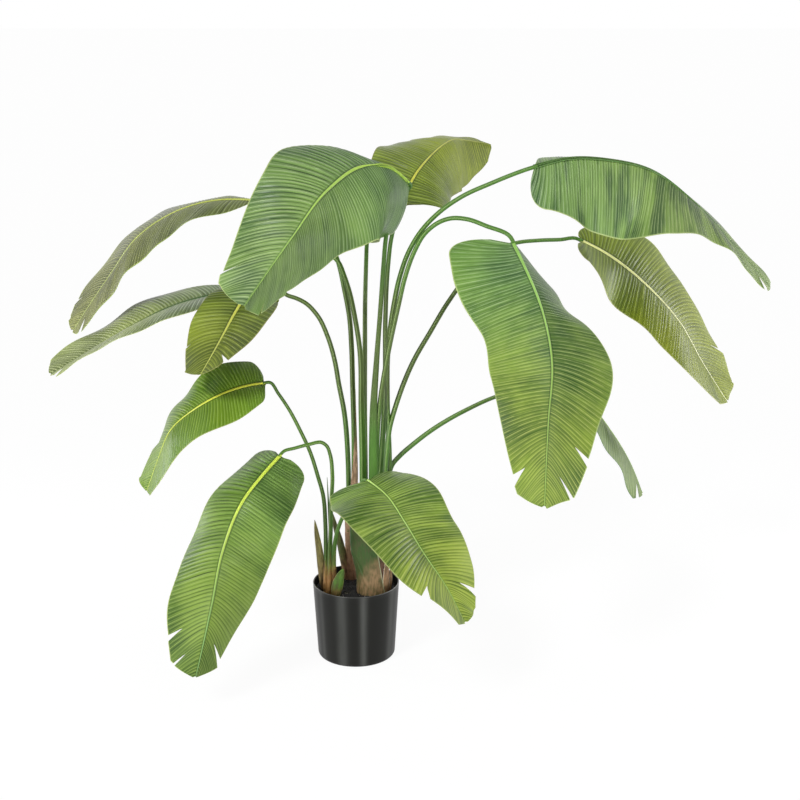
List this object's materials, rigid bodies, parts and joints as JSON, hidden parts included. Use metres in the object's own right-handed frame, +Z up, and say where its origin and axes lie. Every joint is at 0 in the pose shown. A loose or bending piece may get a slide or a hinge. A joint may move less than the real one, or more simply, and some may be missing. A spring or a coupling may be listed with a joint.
{
  "type": "potted banana plant",
  "caption": "Floor plant with long-stalked, pleated banana leaves that arch out from clustered stem bases in a round plastic pot.",
  "frame": {"origin": "centre of the pot's underside, on the surface the plant stands on", "axes": "+Z up, -Y towards the viewer's front, +X towards the side where the leaves reach furthest"},
  "size_m": [1.5158, 0.8977, 1.1325],
  "materials": {
    "pot": "satin black moulded plastic",
    "soil": "matt black potting soil over a heavy fill",
    "stem_base": "dry overlapping sheaths, green turning pinkish brown",
    "sheath": "dry brown leaf sheath with pale edges",
    "shoot": "young green shoot",
    "stalk": "smooth satin green, darker towards the foot",
    "leaf_green": "satin pleated mid-green leaf with a yellow-green rib",
    "leaf_olive": "satin pleated olive to yellow-green leaf"
  },
  "bodies": {
    "root": {"pot": "pot", "fill": "soil", "base_main": "stem_base", "base_rear": "stem_base", "base_side": "stem_base", "sheath_left": "sheath", "sheath_lean": "sheath", "sheath_right": "sheath", "shoot_small": "shoot", "spear": "stalk", "stem_top_front": "stalk", "leaf_top_front": "leaf_green", "stem_top_rear": "stalk", "leaf_top_rear": "leaf_olive", "stem_right_high": "stalk", "leaf_right_high": "leaf_green", "stem_right_rear": "stalk", "leaf_right_rear": "leaf_olive", "stem_right_front": "stalk", "leaf_right_front": "leaf_green", "stem_right_low": "stalk", "leaf_right_low": "leaf_green", "stem_left_high": "stalk", "leaf_left_high": "leaf_olive", "stem_left_far": "stalk", "leaf_left_far": "leaf_olive", "stem_left_inner": "stalk", "leaf_left_inner": "leaf_olive", "stem_left_middle": "stalk", "leaf_left_middle": "leaf_green", "stem_left_low": "stalk", "leaf_left_low": "leaf_green", "stem_front_low": "stalk", "leaf_front_low": "leaf_green", "stem_rear": "stalk", "leaf_rear": "leaf_green"}
  },
  "joints": []
}
